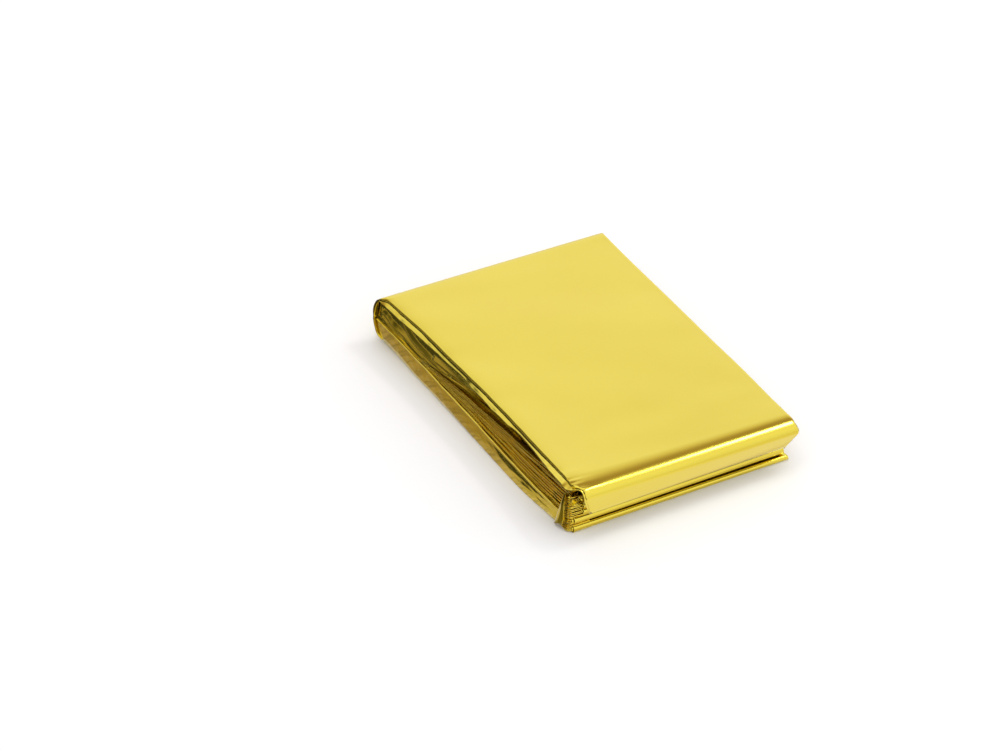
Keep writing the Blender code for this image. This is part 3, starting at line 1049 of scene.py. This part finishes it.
class FoldCorner(bpy.types.Operator):
    """Folds the small flap over the front left corner and curls the film ends beside it"""
    bl_idname = "foil_blanket.fold_corner"
    bl_label = "Fold Corner"

    def flap_point(self, down, place, ply):
        """The flap's point at that share down from its tip and across to its right foot."""
        foot_y, foot_z = (mix(*ends, place) for ends in zip(FLAP_LEFT_FOOT, FLAP_RIGHT_FOOT))
        y = mix(FLAP_POINT[0], foot_y, down ** 0.92)
        z = mix(FLAP_POINT[1], foot_z, down)
        x = mix(0.5, -0.85, down ** 0.6) - 0.45 * down * math.sin(math.pi * place)
        x += 0.9 * down * smooth((place - 0.72) / 0.28)
        x += 0.07 * wrinkle(z / (4 * MM), place * 2.0, 9)
        return LEFT_SIDE + x * MM + ply * FLAP_GAP * smooth(place / 0.25), y, z

    def corner_flap(self, context):
        places = [1 - step / FLAP_PLACES for step in range(FLAP_PLACES + 1)]
        across = [(place, 0) for place in places] + [(place, 1) for place in reversed(places)]
        rows = []
        for step in range(FLAP_STEPS + 1):
            down = mix(0.04, 1.0, step / FLAP_STEPS)
            rows.append([self.flap_point(down, *place) for place in across])
        film = context.scene.foil_blanket.film
        return film_piece("corner_flap", rows, film, foil(context, "gold_foil_side"))

    def curled_end(self, context, number, x_middle, z_middle, half_width, half_height, start, end,
                   inner):
        rows = []
        for step in range(CURL_STEPS + 1):
            y = mix(*CURL_SPAN, step / CURL_STEPS) + 0.1 * MM * ripple(step, 5.0, number)
            points = []
            for part in range(CURL_TURN_STEPS + 1):
                share = part / CURL_TURN_STEPS
                turned = math.radians(mix(start, end, share))
                size = mix(1.0, 0.85, share) * (1 + 0.08 * wrinkle(share * 3, step / 6, number))
                size *= mix(1.0, inner, (step / CURL_STEPS) ** 1.5)
                x = x_middle + half_width * size * math.cos(turned)
                z = z_middle + half_height * size * math.sin(turned)
                points.append((x * MM, y, z * MM))
            rows.append(points)
        film = CURL_FILM * context.scene.foil_blanket.film
        return film_piece(f"curled_end_{number}", rows, film, foil(context, "gold_foil_side"))

    def execute(self, context):
        self.corner_flap(context)
        for number, curl in enumerate(CURLS, start=1):
            self.curled_end(context, number, *curl)
        return {"FINISHED"}


# The room's light over the packet, by the angle from the back horizon over the top to the front
# one: (degrees, colour). The flat top face mirrors 37 degrees, the front fold all beyond it.
ROOM = (
    (0, (0.80, 0.79, 0.78)),
    (22, (0.98, 0.98, 0.97)),
    (33, (1.02, 1.01, 0.99)),
    (37, (0.985, 0.975, 0.95)),
    (41, (0.93, 0.91, 0.87)),
    (50, (0.80, 0.73, 0.63)),
    (62, (0.46, 0.35, 0.26)),
    (72, (0.36, 0.26, 0.18)),
    (78, (0.72, 0.66, 0.58)),
    (84, (1.02, 1.01, 1.00)),
    (130, (1.05, 1.05, 1.05)),
    (180, (0.92, 0.92, 0.93)),
)
WALL_BAND = (0.42, 0.34, 0.22, 1.0)

# The studio's measures: the floor's half side, the height and far edges of the glowing cards that paint
# reflections, the two lights
FLOOR_HALF = 4.0
CARD_HEIGHT = 0.08 * MM
CARD_FAR = 0.6
STREAKS = (60.0, 800.0, 1.0)
SOFT_LIGHT_SIZE = (0.20, 0.26)
SOFT_LIGHT_TOWARDS = (0.552, -0.02, 0.873)
SOFT_LIGHT_DISTANCE = 1.1
WIDE_LIGHT_SIZE = 1.5
WIDE_LIGHT_HEIGHT = 1.5
PACKET_MIDDLE = 9 * MM


def room_world(settings):
    """A pale room, with a browner ceiling band over the back and a dim low wall on the left."""
    world = bpy.data.worlds.new("pale_studio")
    bpy.context.scene.world = world
    world.use_nodes = True
    nodes = Nodes(world.node_tree)

    def faded(source, zero_at, one_at):
        return nodes.ranged(source, zero_at, one_at, interpolation_type="SMOOTHSTEP")

    direction = nodes.add("ShaderNodeTexCoord").outputs["Generated"]
    across, ahead, upward = nodes.add("ShaderNodeSeparateXYZ", direction).outputs
    turned = nodes.ranged(nodes.maths("ARCTAN2", upward, ahead), 0.0, math.pi)
    ramp = nodes.add("ShaderNodeValToRGB", turned)
    elements = ramp.color_ramp.elements
    for index, (degrees, colour) in enumerate(ROOM):
        element = elements[index] if index < 2 else elements.new(1.0)
        element.position = degrees / 180
        element.color = (*colour, 1.0)
    leftward = faded(across, -0.05, -0.30)
    low = faded(upward, 0.66, 0.45)
    behind = faded(ahead, -0.50, -0.10)
    dimmed = nodes.maths("MULTIPLY", nodes.maths("MULTIPLY", leftward, low), behind)
    band = nodes.maths("MULTIPLY", faded(upward, 0.05, 0.15), faded(upward, 0.28, 0.17))
    wall = nodes.blend(band, (*settings.dim_wall, 1.0), WALL_BAND)
    colour = nodes.blend(dimmed, ramp.outputs["Color"], wall)
    world.node_tree.links.new(colour, world.node_tree.nodes["Background"].inputs["Color"])


def stage_sheet(name, low, high, height, material):
    """A flat rectangle of the stage."""
    mesh = bpy.data.meshes.new(name)
    corners = [(low[0], low[1]), (high[0], low[1]), (high[0], high[1]), (low[0], high[1])]
    mesh.from_pydata([(x, y, height) for x, y in corners], [], [(0, 1, 2, 3)])
    mesh.materials.append(material)
    sheet = linked(name, mesh)
    return sheet


def painted_reflection_material(name, colour, blends, streaks=0.0, slant=0.0):
    """A glowing card that paints reflections of light and shade: its colour, then each (axis, from, to,
    colour) blended over it in turn.

    Streaks run along X and darken it by up to that share. Slant is how far Y's blends move back
    for each metre to the right.
    """
    def wire(nodes, place):
        x, y, _ = nodes.add("ShaderNodeSeparateXYZ", place).outputs
        places = {"X": x, "Y": nodes.maths("MULTIPLY_ADD", x, -slant, y)}
        glow = (*colour, 1.0)
        for axis, start, end, over in blends:
            glow = nodes.blend(nodes.ranged(places[axis], start, end), glow, (*over, 1.0))
        squeezed = nodes.add("ShaderNodeMapping", place, None, None, STREAKS).outputs[0]
        uneven = nodes.noise(squeezed, 1.0, 2.0)
        return {"Emission Color": glow,
                "Emission Strength": nodes.ranged(uneven, 0.35, 0.60, 1.0 - streaks)}

    return shaded_material(name, {"Base Color": BLACK, "Specular IOR Level": 0.0}, wire)


def painted_reflection_card(name, low, high, material):
    """A glowing card lying on the floor that shows only in what mirrors it: a painted reflection that
    lights nothing and casts no shadow.
    """
    card = stage_sheet(name, low, high, CARD_HEIGHT, material)
    card.visible_camera = False
    card.visible_diffuse = False
    card.visible_shadow = False


class SetStudio(bpy.types.Operator):
    """Lays the pale floor and sets the soft light, the glowing cards beside the packet that paint
    reflections of light and shade on it, and the camera
    """
    bl_idname = "foil_blanket.set_studio"
    bl_label = "Set Studio"

    def execute(self, context):
        settings = context.scene.foil_studio
        pale = shaded_material("pale_floor", {
            "Base Color": (*settings.floor, 1.0), "Roughness": 1.0, "Specular IOR Level": 0.0},
            lambda nodes, place: {})
        stage_sheet("floor", (-FLOOR_HALF, -FLOOR_HALF), (FLOOR_HALF, FLOOR_HALF), 0.0, pale)
        # The side card paints the shaded floor into the side's reflection: brown, lighter towards the
        # front, dark from the front corner forward and far out to the left, with painted dark streaks.
        painted_reflection_card("side_painted_reflection", (-CARD_FAR, -0.09), (LEFT_SIDE - 0.8 * MM, CARD_FAR), painted_reflection_material(
            "side_painted_reflection", settings.side_painted_reflection, (
                ("Y", 5 * MM, -45 * MM, (0.72, 0.64, 0.46)),
                ("Y", -48 * MM, -53 * MM, (0.20, 0.17, 0.08)),
                ("X", -49 * MM, -54 * MM, settings.dim_wall)), streaks=0.35))
        front = FRONT_END + FRONT_SKEW / 2
        # The front card paints a bright floor into the hanging panel's reflection, a little dimmer to
        # the right and near the packet, with a painted shadow in the darker strip where it runs under
        # the packet's front.
        painted_reflection_card("front_painted_reflection", (-0.04, -CARD_FAR), (0.3, FRONT_END + 5.0 * MM), painted_reflection_material(
            "front_painted_reflection", settings.front_painted_reflection, (
                ("X", 0.0, 45 * MM, (0.90, 0.85, 0.70)),
                ("Y", front - 9 * MM, front - 2 * MM, (0.95, 0.905, 0.78)),
                ("Y", front + 0.3 * MM, front + 3 * MM, (0.62, 0.52, 0.34))),
            slant=FRONT_SKEW / (RIGHT_SIDE - LEFT_SIDE)))
        room_world(settings)

        lamp = bpy.data.lights.new("soft_light", "AREA")
        lamp.shape = "ELLIPSE"
        lamp.size, lamp.size_y = SOFT_LIGHT_SIZE
        lamp.energy = settings.key_power
        light = linked("soft_light", lamp)
        light.location = Vector(SOFT_LIGHT_TOWARDS) * SOFT_LIGHT_DISTANCE
        light.rotation_euler = light.location.to_track_quat("Z", "X").to_euler()
        wide = bpy.data.lights.new("wide_light", "AREA")
        wide.shape = "DISK"
        wide.size = WIDE_LIGHT_SIZE
        wide.energy = settings.fill_power
        above = linked("wide_light", wide)
        above.location = (0.0, 0.0, WIDE_LIGHT_HEIGHT)
        above.visible_glossy = False

        azimuth, elevation = settings.azimuth, settings.elevation
        back = Vector((math.sin(azimuth) * math.cos(elevation),
                       -math.cos(azimuth) * math.cos(elevation), math.sin(elevation)))
        right = Vector((math.cos(azimuth), math.sin(azimuth), 0.0))
        up = back.cross(right)
        camera = bpy.data.cameras.new("camera")
        camera.lens = settings.lens
        camera.sensor_width = 36.0
        view = linked("camera", camera)
        middle = Vector((0.0, 0.0, PACKET_MIDDLE))
        aside = right * settings.aim[0] + up * settings.aim[1]
        view.location = middle + back * settings.distance + aside
        view.rotation_euler = (math.pi / 2 - elevation, 0.0, azimuth)
        context.scene.camera = view
        context.scene.view_settings.view_transform = "Standard"
        return {"FINISHED"}


class FoilPanel(bpy.types.Panel):
    """Sizes and buttons of the folded foil blanket"""
    bl_idname = "VIEW3D_PT_foil_blanket"
    bl_label = "Foil Blanket"
    bl_space_type = "VIEW_3D"
    bl_region_type = "UI"
    bl_category = "Foil Blanket"

    def draw(self, context):
        scene = context.scene
        for settings in (scene.foil_blanket, scene.foil_side, scene.foil_studio):
            for name in settings.__annotations__:
                self.layout.prop(settings, name)
        for operator in OPERATORS:
            self.layout.operator(operator.bl_idname)


SETTINGS = (FoilSettings, SideSettings, StudioSettings)
OPERATORS = (SetStudio, StackPages, FoldCorner, FoldStrip, FoldLowPleat, TuckRecess)


def register():
    for item in SETTINGS + OPERATORS + (FoilPanel,):
        bpy.utils.register_class(item)
    bpy.types.Scene.foil_blanket = bpy.props.PointerProperty(type=FoilSettings)
    bpy.types.Scene.foil_side = bpy.props.PointerProperty(type=SideSettings)
    bpy.types.Scene.foil_studio = bpy.props.PointerProperty(type=StudioSettings)


def unregister():
    del bpy.types.Scene.foil_studio
    del bpy.types.Scene.foil_side
    del bpy.types.Scene.foil_blanket
    for item in reversed(SETTINGS + OPERATORS + (FoilPanel,)):
        bpy.utils.unregister_class(item)


def main():
    register()
    bpy.ops.foil_blanket.set_studio()
    bpy.ops.foil_blanket.stack_pages()
    bpy.ops.foil_blanket.fold_corner()
    bpy.ops.foil_blanket.fold_strip()
    bpy.ops.foil_blanket.fold_low_pleat()
    bpy.ops.foil_blanket.tuck_recess()


if __name__ == "__main__":
    main()
